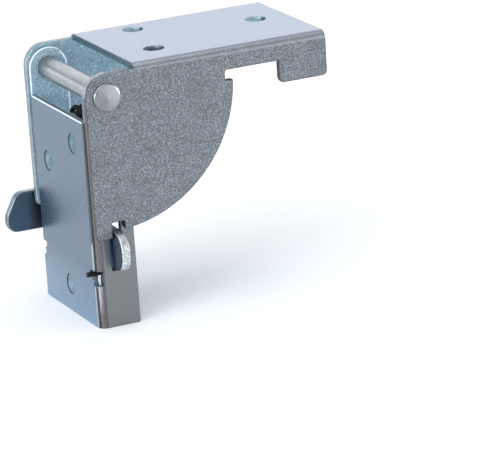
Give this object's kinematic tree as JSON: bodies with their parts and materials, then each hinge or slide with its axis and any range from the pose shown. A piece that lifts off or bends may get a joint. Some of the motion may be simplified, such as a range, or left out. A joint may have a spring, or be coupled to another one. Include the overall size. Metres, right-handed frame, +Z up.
{
  "type": "folding table leg bracket",
  "caption": "Zinc-plated steel folding table leg bracket with riveted hinge, quadrant cheeks and a sprung thumb latch.",
  "frame": {"origin": "middle of the upper plate's top face, which lies against the table top", "axes": "+X along the plate away from the hinge, +Y along the hinge pin, +Z up out of the plate's top face"},
  "size_m": [0.0677, 0.0451, 0.0616],
  "materials": {
    "zinc_upper": "bright zinc plate, satin",
    "zinc_lower": "bright zinc plate, smooth",
    "rivet_steel": "bright zinc plate",
    "latch_steel": "bright zinc plate, tumbled",
    "spring_wire": "oil-blackened spring wire"
  },
  "bodies": {
    "table_side": {"upper_bracket": "zinc_upper", "hinge_pin": "rivet_steel"},
    "leg_side": {"lower_bracket": "zinc_lower", "spring_post": "rivet_steel", "latch_spring": "spring_wire"},
    "latch": {"latch": "latch_steel"}
  },
  "joints": [
    {"name": "fold", "type": "hinge", "parent": "table_side", "child": "leg_side", "pos_m": [-0.03145, 0, -0.0066], "axis": [0, -1, 0], "range_deg": [0, 90]},
    {"name": "latch_slide", "type": "slide", "parent": "leg_side", "child": "latch", "axis": [0, 0, 1], "range_m": [0, 0.0017], "stiffness_N_per_m": 400, "springref_m": 0.004, "deforming": ["latch_spring"]}
  ]
}
